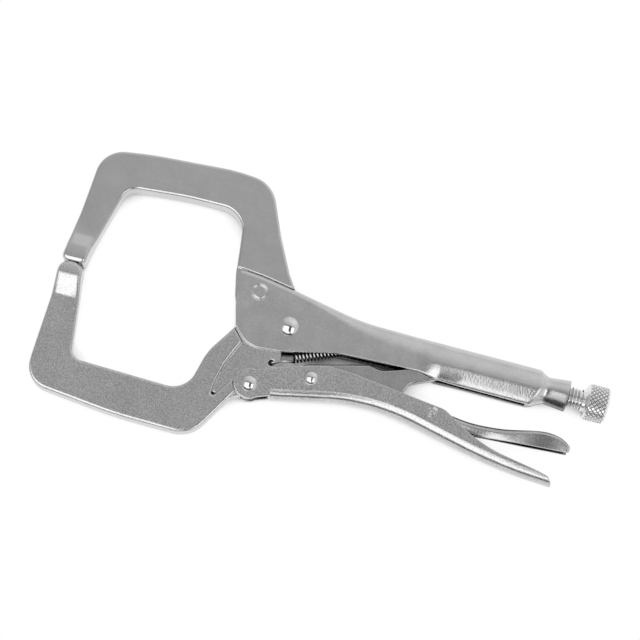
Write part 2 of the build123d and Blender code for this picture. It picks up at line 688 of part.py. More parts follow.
def spring_path():
    """Points and directions of the spring's wire, from the jaw's hole through the coils to the anchor tab."""
    angle = math.radians(SPRING_ANGLE)
    along = Vector(math.cos(angle), math.sin(angle), 0)
    down = Vector(math.sin(angle), -math.cos(angle), 0)
    near = Vector(0, 0, 1)
    hole = Vector(*SPRING_HOLE)
    radius = (SPRING_OUTSIDE - SPRING_WIRE) / 2
    bend = 1.4 * SPRING_WIRE
    over = TONGUE_THICKNESS / 2 + SPRING_WIRE / 2 + 0.2
    nodes = [
        (hole - near * 2.0, near),
        (hole + near * (over - bend), near),
        (hole + near * over + along * bend, along),
        (hole + near * over + along * 4.6, along),
    ]
    coil_start = hole - down * SPRING_AXIS_RISE + along * SPRING_START
    slope = SPRING_PITCH / (2 * math.pi)
    for half_turn in range(2 * SPRING_TURNS + 1):
        turn = half_turn * math.pi
        place = coil_start + along * (slope * turn) + (down * math.cos(turn) - near * math.sin(turn)) * radius
        heading = along * slope + (down * -math.sin(turn) - near * math.cos(turn)) * radius
        nodes.append((place, heading.normalized()))
    rear = coil_start + along * (SPRING_TURNS * SPRING_PITCH + SPRING_HOOK_REACH)
    hook = rear + along * (SPRING_HOOK_LENGTH + bend) - down * bend
    nodes += [
        (rear, along),
        (rear + along * SPRING_HOOK_LENGTH, along),
        (hook, down * -1),
        (hook - down * 1.4, down * -1),
    ]
    return nodes


def anchor_point():
    """Where the spring's rear hook passes through the anchor tab."""
    straight_start = spring_path()[-4][0]
    straight_end = spring_path()[-3][0]
    return (straight_start + straight_end) * 0.5


def straight_or_biarc(start, start_tangent, end, end_tangent):
    direction = (end - start).normalized()
    if direction.dot(start_tangent) > 0.99999 and direction.dot(end_tangent) > 0.99999:
        return [Line(start, end)]
    return biarc(start, start_tangent, end, end_tangent)


def build_jaw_spring():
    nodes = spring_path()
    edges = []
    for (start, start_tangent), (end, end_tangent) in zip(nodes, nodes[1:]):
        edges += straight_or_biarc(start, start_tangent, end, end_tangent)
    samples = []
    travelled = 0.0
    for edge in edges:
        for step in range(4):
            samples.append((travelled + edge.length * step / 4, edge @ (step / 4)))
        travelled += edge.length
    least = min((b - a).length for i, (s, a) in enumerate(samples) for t, b in samples[i + 1:] if t - s > 4 * SPRING_WIRE)
    print("jaw_spring least gap to itself:", round(least - SPRING_WIRE, 2), "mm")
    path = Wire(edges)
    section = Plane(origin=path @ 0, z_dir=path % 0) * Circle(SPRING_WIRE / 2)
    return sweep(section, path=path)


def build_all():
    shapes = {
        "fixed_handle": build_fixed_handle(),
        "fixed_jaw": build_fixed_jaw(),
        "moving_jaw": build_moving_jaw(),
        "moving_handle": build_moving_handle(),
        "toggle_link": build_toggle_link(),
        "release_lever": build_release_lever(),
        "adjusting_screw": build_adjusting_screw(),
        "jaw_spring": build_jaw_spring(),
        "jaw_pivot_rivet": domed_rivet(JAW_PIVOT, JAW_PIVOT_SHANK, JAW_PIVOT_HEAD, 2 * CHANNEL_HALF),
        "handle_pivot_rivet": domed_rivet(HANDLE_PIVOT, HANDLE_PIVOT_SHANK, HANDLE_PIVOT_HEAD, 2 * CHANNEL_HALF),
        "link_rivet": domed_rivet(LINK_PIVOT, LINK_RIVET_SHANK, LINK_RIVET_HEAD, 2 * CHANNEL_HALF),
        "fixed_jaw_rivet": flush_rivet(JAW_RIVET, JAW_RIVET_SHANK, JAW_RIVET_FLUSH_HEAD, SHEET, 0.5),
        "lever_rivet": flush_rivet(LEVER_PIVOT, LEVER_RIVET_SHANK, LEVER_RIVET_HEAD, SHEET, 0.4),
    }
    return shapes


def main():
    shapes = build_all()
    boxes = [shape.bounding_box() for shape in shapes.values()]
    middle_x = (min(box.min.X for box in boxes) + max(box.max.X for box in boxes)) / 2
    middle_y = (min(box.min.Y for box in boxes) + max(box.max.Y for box in boxes)) / 2
    lowest = min(box.min.Z for box in boxes)
    shift = Pos(-middle_x, -middle_y, -lowest)
    os.makedirs("parts", exist_ok=True)
    for name, shape in shapes.items():
        export_step(shift * shape, f"parts/{name}.step")
    print("origin in the building frame:", round(middle_x, 4), round(middle_y, 4), round(lowest, 4))


if __name__ == "__main__":
    main()
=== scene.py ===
import math

import bpy
from mathutils import Matrix, Vector


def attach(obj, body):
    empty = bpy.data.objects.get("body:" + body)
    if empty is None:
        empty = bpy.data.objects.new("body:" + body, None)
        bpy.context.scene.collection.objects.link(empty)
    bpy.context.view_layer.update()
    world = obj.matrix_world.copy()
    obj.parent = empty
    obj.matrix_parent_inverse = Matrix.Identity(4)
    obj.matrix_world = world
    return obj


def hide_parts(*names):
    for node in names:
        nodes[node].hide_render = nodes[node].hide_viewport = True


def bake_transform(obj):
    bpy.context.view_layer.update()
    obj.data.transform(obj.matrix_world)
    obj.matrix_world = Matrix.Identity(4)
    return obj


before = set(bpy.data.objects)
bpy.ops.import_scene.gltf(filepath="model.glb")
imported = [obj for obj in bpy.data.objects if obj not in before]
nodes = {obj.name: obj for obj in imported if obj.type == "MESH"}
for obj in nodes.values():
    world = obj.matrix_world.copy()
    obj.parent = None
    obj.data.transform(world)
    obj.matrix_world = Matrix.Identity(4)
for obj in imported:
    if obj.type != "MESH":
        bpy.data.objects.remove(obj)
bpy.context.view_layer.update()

MM = 0.001
# The part's origin, in millimetres from the jaw pivot on the tool's middle plane
ORIGIN = Vector((21.9872, 2.6557, -9.28))


def place(x, y, z=0.0):
    """A point given in millimetres from the jaw pivot, as metres in the part's frame."""
    return (Vector((x, y, z)) - ORIGIN) * MM


# Finishes

def linear(colour):
    """Linear red, green, blue and alpha of an sRGB hex colour."""
    shares = [int(colour[start:start + 2], 16) / 255 for start in (1, 3, 5)]
    return [c / 12.92 if c <= 0.04045 else ((c + 0.055) / 1.055) ** 2.4 for c in shares] + [1.0]


def add_node(tree, kind, inputs, **settings):
    """Adds a shader node. An input that is another node's output is linked, and others are set."""
    made = tree.nodes.new(kind)
    for name, value in settings.items():
        setattr(made, name, value)
    for name, value in inputs.items():
        if isinstance(value, bpy.types.NodeSocket):
            tree.links.new(value, made.inputs[name])
        else:
            made.inputs[name].default_value = value
    return made


def bare_material(name):
    """A new material that has no shader nodes yet."""
    material = bpy.data.materials.new(name)
    material.use_nodes = True
    material.node_tree.nodes.clear()
    return material


# How finely clouds and grain break up, and the part of their mix that colour and roughness follow
CLOUD_DETAIL = 3.0
CLOUD_BREAK_UP = 0.55
GRAIN_BREAK_UP = 0.6
COLOUR_SPREAD = (0.32, 0.68)
ROUGHNESS_SPREAD = (0.3, 0.7)
# Light and shade are painted into the colour in seams and hollows. A seam has walls within this
# many millimetres, and a hollow within this many
SEAM_REACH = 1.2
HOLLOW_REACH = 25.0
# How open each is, as a share of an open face, deep inside it and at its rim
SEAM_OPENNESS = (0.42, 0.7)
HOLLOW_OPENNESS = (0.15, 0.5)
# Rays sent out from a point to find the edges and walls near it
PROBE_RAYS = 8


def plated_steel(name, dark, light, cloud_mm, grain_mm, grain_depth_mm, roughness,
                 grain_contrast, edge_mm=0.6, detail=3.0, painted_seam_light=1.3, painted_hollow_shade=0.03):
    """Plated steel: a cloudy plate over a grainy steel surface.

    The colour drifts between dark and light over clouds of cloud_mm, and the grain, of grain_mm,
    takes the share grain_contrast of it. The grain stands grain_depth_mm high. Roughness is a
    (least, most) pair, and edge_mm is the radius that tumbling leaves on the edges. Light and
    shade
    are painted into the colour: in narrow seams it is multiplied by painted_seam_light, a painted
    highlight above 1 and painted shade below 1, and in hollows by painted_hollow_shade.
    """
    material = bare_material(name)
    tree = material.node_tree
    where = add_node(tree, "ShaderNodeTexCoord", {}, name="where")
    cloud = add_node(tree, "ShaderNodeTexNoise", {
        "Vector": where.outputs["Object"], "Scale": 1 / (cloud_mm * MM),
        "Detail": CLOUD_DETAIL, "Roughness": CLOUD_BREAK_UP})
    grain = add_node(tree, "ShaderNodeTexNoise", {
        "Vector": where.outputs["Object"], "Scale": 1 / (grain_mm * MM),
        "Detail": detail, "Roughness": GRAIN_BREAK_UP}, name="grain")
    mixed = add_node(tree, "ShaderNodeMix", {
        "Factor": grain_contrast, "A": cloud.outputs["Fac"], "B": grain.outputs["Fac"]})
    colour = add_node(tree, "ShaderNodeValToRGB", {"Fac": mixed.outputs["Result"]}, name="colour")
    for stop, position, shade in zip(colour.color_ramp.elements, COLOUR_SPREAD, (dark, light)):
        stop.position = position
        stop.color = linear(shade)
    dull = add_node(tree, "ShaderNodeMapRange", {
        "Value": mixed.outputs["Result"],
        "From Min": ROUGHNESS_SPREAD[0], "From Max": ROUGHNESS_SPREAD[1],
        "To Min": roughness[0], "To Max": roughness[1]})
    edge = add_node(tree, "ShaderNodeBevel", {"Radius": edge_mm * MM},
                    name="edge", samples=PROBE_RAYS)
    bump = add_node(tree, "ShaderNodeBump", {
        "Strength": 1.0, "Distance": grain_depth_mm * MM, "Height": grain.outputs["Fac"],
        "Normal": edge.outputs["Normal"]}, name="bump")
    # Painted light and shade: how closed in a point is, near and far, lightens or darkens its
    # colour
    close_by = add_node(tree, "ShaderNodeAmbientOcclusion", {"Distance": SEAM_REACH * MM},
                        samples=PROBE_RAYS)
    out_of_seam = add_node(tree, "ShaderNodeMapRange", {
        "Value": close_by.outputs["AO"],
        "From Min": SEAM_OPENNESS[0], "From Max": SEAM_OPENNESS[1]})
    seam = add_node(tree, "ShaderNodeMapRange", {
        "Value": out_of_seam.outputs["Result"], "To Min": painted_seam_light, "To Max": 1.0})
    far_off = add_node(tree, "ShaderNodeAmbientOcclusion", {"Distance": HOLLOW_REACH * MM},
                       samples=PROBE_RAYS)
    hollow = add_node(tree, "ShaderNodeMapRange", {
        "Value": far_off.outputs["AO"],
        "From Min": HOLLOW_OPENNESS[0], "From Max": HOLLOW_OPENNESS[1],
        "To Min": painted_hollow_shade, "To Max": 1.0})
    # A narrow seam doesn't get the painted shade of a hollow too
    hollow = add_node(tree, "ShaderNodeMix", {
        "Factor": out_of_seam.outputs["Result"], "A": 1.0, "B": hollow.outputs["Result"]})
    shading = add_node(tree, "ShaderNodeMath", {
        0: seam.outputs["Result"], 1: hollow.outputs["Result"]}, operation="MULTIPLY")
    shaded = add_node(tree, "ShaderNodeVectorMath", {
        0: colour.outputs["Color"], "Scale": shading.outputs[0]},
        name="shaded", operation="SCALE")
    surface = add_node(tree, "ShaderNodeBsdfPrincipled", {
        "Metallic": 1.0, "Base Color": shaded.outputs["Vector"],
        "Roughness": dull.outputs["Result"], "Normal": bump.outputs["Normal"]})
    add_node(tree, "ShaderNodeOutputMaterial", {"Surface": surface.outputs["BSDF"]})
    return material


# The fixed handle's tube is pressed more and more between these places, towards the knob and
# towards the front, in millimetres from the jaw pivot
PRESSED_X = (70.0, 82.0)
PRESSED_Y = (5.0, -1.0)
# Pressing leaves creases this soft, and a coarse skin like orange peel
PRESSED_SOFTNESS = 2.4
PEEL_WIDTH = 0.9
PEEL_DEPTH = 0.09
PEEL_DETAIL = 3.0
# From here on the collar's front gets painted shade: it keeps only this share of its colour
COLLAR_X = (130.5, 132.0)
COLLAR_FRONT_PAINTED_SHADE = 0.42


def press_tube(material):
    """Gives plated steel the marks of pressing, along the fixed handle's tube and collar.

    The collar's front also gets painted shade.
    """
    tree = material.node_tree
    where, grain, colour, edge, bump, shaded = [
        tree.nodes[name] for name in ("where", "grain", "colour", "edge", "bump", "shaded")]
    spot = add_node(tree, "ShaderNodeSeparateXYZ", {"Vector": where.outputs["Object"]})
    to_knob = add_node(tree, "ShaderNodeMapRange", {
        "Value": spot.outputs["X"],
        "From Min": place(PRESSED_X[0], 0).x, "From Max": place(PRESSED_X[1], 0).x})
    to_front = add_node(tree, "ShaderNodeMapRange", {
        "Value": spot.outputs["Y"],
        "From Min": place(0, PRESSED_Y[0]).y, "From Max": place(0, PRESSED_Y[1]).y})
    pressed = add_node(tree, "ShaderNodeMath", {
        0: to_knob.outputs["Result"], 1: to_front.outputs["Result"]}, operation="MULTIPLY")
    softness = add_node(tree, "ShaderNodeMapRange", {
        "Value": to_knob.outputs["Result"],
        "To Min": edge.inputs["Radius"].default_value, "To Max": PRESSED_SOFTNESS * MM})
    peel = add_node(tree, "ShaderNodeTexNoise", {
        "Vector": where.outputs["Object"], "Scale": 1 / (PEEL_WIDTH * MM),
        "Detail": PEEL_DETAIL, "Roughness": GRAIN_BREAK_UP})
    height = add_node(tree, "ShaderNodeMix", {
        "Factor": pressed.outputs[0], "A": grain.outputs["Fac"], "B": peel.outputs["Fac"]})
    depth = add_node(tree, "ShaderNodeMapRange", {
        "Value": pressed.outputs[0],
        "To Min": bump.inputs["Distance"].default_value, "To Max": PEEL_DEPTH * MM})
    # Painted shade on the collar's front
    at_collar = add_node(tree, "ShaderNodeMapRange", {
        "Value": spot.outputs["X"],
        "From Min": place(COLLAR_X[0], 0).x, "From Max": place(COLLAR_X[1], 0).x})
    collar_front = add_node(tree, "ShaderNodeMath", {
        0: at_collar.outputs["Result"], 1: to_front.outputs["Result"]}, operation="MULTIPLY")
    collar_painted_shade = add_node(tree, "ShaderNodeMapRange", {
        "Value": collar_front.outputs[0], "To Min": 1.0, "To Max": COLLAR_FRONT_PAINTED_SHADE})
    collar_painted_colour = add_node(tree, "ShaderNodeVectorMath", {
        0: colour.outputs["Color"], "Scale": collar_painted_shade.outputs["Result"]}, operation="SCALE")
    tree.links.new(softness.outputs["Result"], edge.inputs["Radius"])
    tree.links.new(height.outputs["Result"], bump.inputs["Height"])
    tree.links.new(depth.outputs["Result"], bump.inputs["Distance"])
    tree.links.new(collar_painted_colour.outputs["Vector"], shaded.inputs[0])


# The marks that rolling, tumbling, drawing and blasting leave, of 0.1 to 0.3 mm, are too fine to
# show, so their grain is drawn at 0.4 to 1.2 mm.

# Folded sheet, smoothed before it was nickel plated: a soft even grey with a faint skin of grain.
SMOOTH_NICKEL_SHEET = plated_steel(
    "smooth_nickel_plated_sheet", "#C0C0C0", "#D2D2D2", cloud_mm=9.0, grain_mm=0.9,
    grain_depth_mm=0.035, roughness=(0.17, 0.24), grain_contrast=0.45)
press_tube(SMOOTH_NICKEL_SHEET)

# Folded sheet, shot blasted before plating: it sparkles in small grains.
BLASTED_NICKEL_SHEET = plated_steel(
    "blasted_nickel_plated_sheet", "#AAAAAA", "#E0E0E0", cloud_mm=12.0, grain_mm=0.75,
    grain_depth_mm=0.03, roughness=(0.20, 0.26), grain_contrast=0.85)

# Bent lever, stamped from thin sheet and thinly plated: duller and darker than the handles, with
# less painted shade in its hollows than the other parts.
THIN_NICKEL_LEVER = plated_steel(
    "thinly_nickel_plated_lever", "#B0B0B0", "#C4C4C4", cloud_mm=9.0, grain_mm=0.9,
    grain_depth_mm=0.035, roughness=(0.17, 0.24), grain_contrast=0.45, edge_mm=0.2,
    painted_hollow_shade=0.6)

# Forging, ground and tumbled before plating: the smoothest and most even of the greys.
TUMBLED_NICKEL_FORGING = plated_steel(
    "tumbled_nickel_plated_forging", "#C0C0C0", "#CCCCCC", cloud_mm=14.0, grain_mm=1.1,
    grain_depth_mm=0.022, roughness=(0.18, 0.24), grain_contrast=0.40, edge_mm=0.8)

# Forging, left as blasted under the plate: it sparkles as the blasted sheet does, over broader
# dull clouds.
BLASTED_NICKEL_FORGING = plated_steel(
    "blasted_nickel_plated_forging", "#B4B4B4", "#D8D8D8", cloud_mm=16.0, grain_mm=0.75,
    grain_depth_mm=0.05, roughness=(0.20, 0.26), grain_contrast=0.80, edge_mm=1.0)

# Stamped link, plated without blasting: a shade duller than the handles.
STAMPED_NICKEL_LINK = plated_steel(
    "stamped_nickel_plated_link", "#A8A8A8", "#BEBEBE", cloud_mm=10.0, grain_mm=0.9,
    grain_depth_mm=0.03, roughness=(0.22, 0.30), grain_contrast=0.5)

# Turned and rolled screw, bright nickel: crisp light on thread and knurl, with painted shade
# deepening its grooves.
BRIGHT_NICKEL_SCREW = plated_steel(
    "bright_nickel_plated_screw", "#E4E4E4", "#F4F4F4", cloud_mm=5.0, grain_mm=0.5,
    grain_depth_mm=0.006, roughness=(0.18, 0.24), grain_contrast=0.5, edge_mm=0.1,
    painted_seam_light=0.4)

# Cold drawn spring wire: bright lines of light along each turn.
DRAWN_SPRING_WIRE = plated_steel(
    "bright_drawn_spring_wire", "#C4C4C4", "#DCDCDC", cloud_mm=4.0, grain_mm=0.4,
    grain_depth_mm=0.004, roughness=(0.18, 0.26), grain_contrast=0.5, edge_mm=0.05)

# Rivet heads, polished by the heading tool, then plated: they mirror the white tent round the
# tool and the dark opening in it.
POLISHED_RIVET_STEEL = plated_steel(
    "polished_nickel_plated_rivet", "#D0D0D0", "#DEDEDE", cloud_mm=6.0, grain_mm=1.2,
    grain_depth_mm=0.004, roughness=(0.09, 0.14), grain_contrast=0.5, edge_mm=0.2)

# Rivet end, spread with a pointed punch: facets of the punch's width that flash at random, and
# painted shade in its narrow seams.
PEENED_RIVET_STEEL = plated_steel(
    "peened_nickel_plated_rivet", "#C8C8C8", "#E2E2E2", cloud_mm=3.0, grain_mm=1.5,
    grain_depth_mm=0.35, roughness=(0.18, 0.26), grain_contrast=0.6, edge_mm=0.2, detail=1.0,
    painted_seam_light=0.3)

finishes = {
    "fixed_handle": SMOOTH_NICKEL_SHEET,
    "moving_handle": BLASTED_NICKEL_SHEET,
    "release_lever": THIN_NICKEL_LEVER,
    "fixed_jaw": TUMBLED_NICKEL_FORGING,
    "moving_jaw": BLASTED_NICKEL_FORGING,
    "toggle_link": STAMPED_NICKEL_LINK,
    "jaw_pivot_rivet": POLISHED_RIVET_STEEL,
    "handle_pivot_rivet": POLISHED_RIVET_STEEL,
    "link_rivet": POLISHED_RIVET_STEEL,
    "fixed_jaw_rivet": SMOOTH_NICKEL_SHEET,
    "lever_rivet": PEENED_RIVET_STEEL,
}
for name, finish in finishes.items():
    nodes[name].data.materials.clear()
    nodes[name].data.materials.append(finish)

# Sheared and forged edges are broken by so many millimetres, so each catches a thin line of light
broken_edges = {
    "fixed_handle": 0.35,
    "moving_handle": 0.35,
    "release_lever": 0.25,
    "fixed_jaw": 0.3,
    "moving_jaw": 0.3,
    "toggle_link": 0.25,
    "fixed_jaw_rivet": 0.1,
    "lever_rivet": 0.1,
}
BROKEN_EDGE_STEPS = 2
# Edges that turn by fewer degrees than this are folds and curves, which stay as they are
SHARP_EDGE = 35
# Facets whose corners are this near, in millimetres, are joined first
JOIN_WITHIN = 0.001
for name, width in broken_edges.items():
    weld = nodes[name].modifiers.new("join_facets", "WELD")
    weld.merge_threshold = JOIN_WITHIN * MM
    bevel = nodes[name].modifiers.new("broken_edges", "BEVEL")
    bevel.width = width * MM
    bevel.segments = BROKEN_EDGE_STEPS
    bevel.limit_method = "ANGLE"
    bevel.angle_limit = math.radians(SHARP_EDGE)
    bevel.harden_normals = True
    nodes[name].modifiers.new("even_shading", "WEIGHTED_NORMAL")


# Pieces made here

def mesh_piece(name, vertices, faces, finish, sharp_angle):
    """A new piece, from vertices in millimetres from the jaw pivot.

    Edges are sharp where faces meet at more than sharp_angle degrees.
    """
    mesh = bpy.data.meshes.new(name)
    mesh.from_pydata([place(*vertex) for vertex in vertices], [], faces)
    mesh.materials.append(finish)
    mesh.shade_smooth()
    mesh.set_sharp_from_angle(angle=math.radians(sharp_angle))
    piece = bpy.data.objects.new(name, mesh)
    bpy.context.scene.collection.objects.link(piece)
    return piece


def tube_faces(rings, sides):
    """Faces of a closed tube over rings of vertices that turn to the right, seen along it."""
    faces = []
    for ring in range(rings - 1):
        for side in range(sides):
            after = (side + 1) % sides
            faces.append((ring * sides + side, ring * sides + after,
                          (ring + 1) * sides + after, (ring + 1) * sides + side))
    faces.append(tuple(reversed(range(sides))))
    faces.append(tuple(range((rings - 1) * sides, rings * sides)))
    return faces


# Jaw spring: hooked into the moving jaw's tongue, sixteen turns, hooked into the tab under the
# fixed handle's roof. Sizes are in millimetres.
WIRE = 1.1
WIRE_SIDES = 12
COIL_OUTSIDE = 6.2
COIL_TURNS = 16
COIL_PITCH = 1.75
COIL_SLOPE = math.radians(23.0)
JAW_HOLE = Vector((-3.8, -19.6, 0.0))
TONGUE_FACE = 4.0
# The coil's start, seen from the jaw's hole
COIL_AWAY = 11.5
COIL_ABOVE = 1.8
HOOK_BEND = 1.4 * WIRE
# The front hook's end below the tongue's middle, its gap over the tongue and its straight run
FRONT_END = 2.0
FRONT_GAP = 0.2
FRONT_RUN = 4.6
# The rear hook's way from the coil to its straight run, that run, and its end in the tab
REAR_WAY = 5.0
REAR_RUN = 3.0
REAR_END = 1.4
# Points on each bend of the hooks, and on each turn of the coil
BEND_STEPS = 10
TURN_STEPS = 24

along = Vector((math.cos(COIL_SLOPE), math.sin(COIL_SLOPE), 0))
down = Vector((math.sin(COIL_SLOPE), -math.cos(COIL_SLOPE), 0))
near = Vector((0, 0, 1))
coil_radius = (COIL_OUTSIDE - WIRE) / 2
coil_start = JAW_HOLE - down * COIL_ABOVE + along * COIL_AWAY
hook_height = TONGUE_FACE + WIRE / 2 + FRONT_GAP


def coil_point(turns):
    """A point on the wire's middle line, so many turns into the coil."""
    angle = 2 * math.pi * turns
    outwards = down * math.cos(angle) - near * math.sin(angle)
    return coil_start + along * COIL_PITCH * turns + outwards * coil_radius


def coil_heading(turns):
    """The wire's heading, so many turns into the coil."""
    return (coil_point(turns + 0.01) - coil_point(turns)).normalized()


def bent_wire(stops):
    """Points on smooth bends from each (place, heading) stop to the next, without the last one."""
    points = []
    for (start, start_heading), (end, end_heading) in zip(stops, stops[1:]):
        pull = (end - start).length
        for step in range(BEND_STEPS):
            t = step / BEND_STEPS
            points.append(
                start * (2 * t ** 3 - 3 * t ** 2 + 1)
                + start_heading * pull * (t ** 3 - 2 * t ** 2 + t)
                + end * (3 * t ** 2 - 2 * t ** 3)
                + end_heading * pull * (t ** 3 - t ** 2))
    return points


def round_wire(points):
    """Vertices and faces of the closed round wire along a line of points."""
    vertices = []
    count = len(points)
    across = None
    for index, point in enumerate(points):
        heading = (points[min(index + 1, count - 1)] - points[max(index - 1, 0)]).normalized()
        if across is None:
            across = heading.orthogonal()
        across = (across - heading * across.dot(heading)).normalized()
        other = heading.cross(across)
        for side in range(WIRE_SIDES):
            angle = 2 * math.pi * side / WIRE_SIDES
            outwards = across * math.cos(angle) + other * math.sin(angle)
            vertices.append(point + outwards * (WIRE / 2))
    return vertices, tube_faces(count, WIRE_SIDES)


front_hook = [
    (JAW_HOLE - near * FRONT_END, near),
    (JAW_HOLE + near * (hook_height - HOOK_BEND), near),
    (JAW_HOLE + near * hook_height + along * HOOK_BEND, along),
    (JAW_HOLE + near * hook_height + along * FRONT_RUN, along),
    (coil_point(0), coil_heading(0)),
]
rear_axis = coil_start + along * (COIL_TURNS * COIL_PITCH + REAR_WAY)
rear_bend = rear_axis + along * (REAR_RUN + HOOK_BEND)
rear_hook = [
    (coil_point(COIL_TURNS), coil_heading(COIL_TURNS)),
    (rear_axis, along),
    (rear_axis + along * REAR_RUN, along),
    (rear_bend - down * HOOK_BEND, -down),
    (rear_bend - down * (HOOK_BEND + REAR_END), -down),
]
wire_line = bent_wire(front_hook)
wire_line += [coil_point(step / TURN_STEPS) for step in range(TURN_STEPS * COIL_TURNS)]
wire_line += bent_wire(rear_hook)
wire_line.append(rear_hook[-1][0])

spring = mesh_piece("coiled_jaw_spring", *round_wire(wire_line), DRAWN_SPRING_WIRE, sharp_angle=50)
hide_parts("jaw_spring")
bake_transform(spring)


# Adjusting screw: rolled thread, neck and a knurled head. Sizes are in millimetres.
SCREW_AXIS_Y = 3.0
SCREW_TIP_X = 87.2
THREAD_END_X = 149.6
THREAD_OUTSIDE = 10.4
THREAD_PITCH = 1.75
THREAD_DEPTH = 0.95
TIP_CHAMFER = 1.2
# Root, flank, crest and flank, as shares of the pitch and of the depth
THREAD_PROFILE = [(0.0, 1.0), (0.14, 1.0), (0.46, 0.0), (0.66, 0.0)]
THREAD_SIDES = 48
# Thread faces that are shorter than this along the screw are left out
SHORTEST_FACE = 1e-4
NECK_DIAMETER = 11.2
NECK_CHAMFER = 0.3
NECK_FLARE = 0.4
HEAD_START_X = 151.4
HEAD_END_X = 162.3
HEAD_DIAMETER = 18.3
HEAD_CHAMFER = 1.2
# The head's end is a flat rim round a shallow dish
RIM_WIDTH = 1.0
DISH_SLOPE = 0.6
DISH_DEPTH = 0.5
KNURLS_ROUND = 24
KNURL_DEPTH = 0.6
# The flat share of a knurl's width, its length as a share of its width, and the steps across it
KNURL_FLAT = 0.6
KNURL_STRETCH = 1.05
KNURL_STEPS = 8
# The turned core under thread and knurl: its sides, its chamfered tip, how far it stands into the
# thread, and how far below the knurled skin and the head's end it stays
CORE_SIDES = 64
CORE_CHAMFER = 0.6
CORE_INTO_THREAD = 0.02
CORE_BELOW_RIM = 0.05
CORE_BELOW_END = 0.02


def around(x, radius, angle):
    """A point round the screw's axis."""
    return (x, SCREW_AXIS_Y + radius * math.cos(angle), radius * math.sin(angle))


def turned_core(rings):
    """Vertices and faces of a closed turned form through (x, radius) rings, flat at both ends."""
    vertices = []
    for x, radius in rings:
        vertices += [around(x, radius, 2 * math.pi * side / CORE_SIDES)
                     for side in range(CORE_SIDES)]
    return vertices, tube_faces(len(rings), CORE_SIDES)


def wound_thread():
    """Vertices and faces of the thread's skin: its profile, wound along X."""
    outside = THREAD_OUTSIDE / 2
    turns = int((THREAD_END_X - SCREW_TIP_X) / THREAD_PITCH + 1)
    steps = turns * THREAD_SIDES
    vertices = []
    for step in range(steps + 1):
        for share, drop in THREAD_PROFILE:
            x = SCREW_TIP_X + THREAD_PITCH * (step / THREAD_SIDES + share - 1)
            x = min(max(x, SCREW_TIP_X), THREAD_END_X)
            tip_cut = max(0.0, TIP_CHAMFER - (x - SCREW_TIP_X))
            radius = min(outside - THREAD_DEPTH * drop, outside - tip_cut)
            vertices.append(around(x, radius, 2 * math.pi * step / THREAD_SIDES))
    faces = []
    count = len(THREAD_PROFILE)
    for step in range(steps):
        for point in range(count):
            # The last point of the profile joins the first one of the next turn
            next_point = (point + 1) % count
            next_step = step + THREAD_SIDES if next_point == 0 else step
            if next_step + 1 > steps:
                continue
            face = (step * count + point, (step + 1) * count + point,
                    (next_step + 1) * count + next_point, next_step * count + next_point)
            reach = [vertices[corner][0] for corner in face]
            if max(reach) - min(reach) > SHORTEST_FACE:
                faces.append(face)
    return vertices, faces


def knurled_band():
    """Vertices and faces of the head's skin: two chamfers, and flat diamonds between V grooves."""
    columns = KNURL_STEPS * KNURLS_ROUND
    knurl_length = math.pi * HEAD_DIAMETER / KNURLS_ROUND * KNURL_STRETCH
    rows = round(KNURL_STEPS * (HEAD_END_X - HEAD_START_X) / knurl_length)
    outside = HEAD_DIAMETER / 2
    half = KNURL_STEPS / 2
    vertices = []
    for row in range(rows + 1):
        x = HEAD_START_X + (HEAD_END_X - HEAD_START_X) * row / rows
        from_end = min(x - HEAD_START_X, HEAD_END_X - x)
        limit = outside - max(0.0, HEAD_CHAMFER - from_end)
        for column in range(columns):
            one_way = abs((column + row) % KNURL_STEPS - half) / half
            other_way = abs((column - row) % KNURL_STEPS - half) / half
            cut = max(0.0, max(one_way, other_way) - KNURL_FLAT) / (1 - KNURL_FLAT)
            radius = min(outside - KNURL_DEPTH * cut, limit)
            vertices.append(around(x, radius, 2 * math.pi * column / columns))
    faces = []
    for row in range(rows):
        for column in range(columns):
            after = (column + 1) % columns
            here = row * columns + column
            ahead = (row + 1) * columns + column
            opposite = (row + 1) * columns + after
            beside = row * columns + after
            # Each square is split along the groove that crosses it
            if (column - row) % 2 == 0:
                faces += [(here, opposite, ahead), (here, beside, opposite)]
            else:
                faces += [(here, beside, ahead), (ahead, beside, opposite)]
    return vertices, faces


def together(*forms):
    """Several forms of vertices and faces as one."""
    vertices = []
    faces = []
    for form_vertices, form_faces in forms:
        start = len(vertices)
        vertices += form_vertices
        faces += [tuple(start + corner for corner in face) for face in form_faces]
    return vertices, faces


core = THREAD_OUTSIDE / 2 - THREAD_DEPTH + CORE_INTO_THREAD
neck = NECK_DIAMETER / 2
rim = HEAD_DIAMETER / 2 - HEAD_CHAMFER
head_end = HEAD_END_X - CORE_BELOW_END
screw_core = turned_core([
    (SCREW_TIP_X, core - CORE_CHAMFER),
    (SCREW_TIP_X + CORE_CHAMFER, core),
    (THREAD_END_X - NECK_CHAMFER, core),
    (THREAD_END_X - NECK_CHAMFER, neck - NECK_CHAMFER),
    (THREAD_END_X, neck),
    (HEAD_START_X - NECK_FLARE, neck),
    (HEAD_START_X, neck + NECK_FLARE),
    (HEAD_START_X, rim - CORE_BELOW_RIM),
    (head_end, rim - CORE_BELOW_RIM),
    (head_end, rim - RIM_WIDTH),
    (HEAD_END_X - DISH_DEPTH, rim - RIM_WIDTH - DISH_SLOPE),
])
screw = mesh_piece(
    "knurled_adjusting_screw", *together(screw_core, wound_thread(), knurled_band()),
    BRIGHT_NICKEL_SCREW, sharp_angle=25)
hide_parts("adjusting_screw")
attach(screw, "adjusting_screw")


# Floor, light and camera

# Half the floor's width, in metres
FLOOR_HALF = 4.0
# The floor's shadow is painted into its glow. How far it reaches out, in millimetres, how open the
# floor is under the tool and at the shadow's rim, as a share of an open floor, and how light it is
SHADOW_REACH = 14.0
SHADOW_OPENNESS = (0.2, 0.5)
SHADOW_LIGHT = 0.02
SHADOW_RAYS = 16


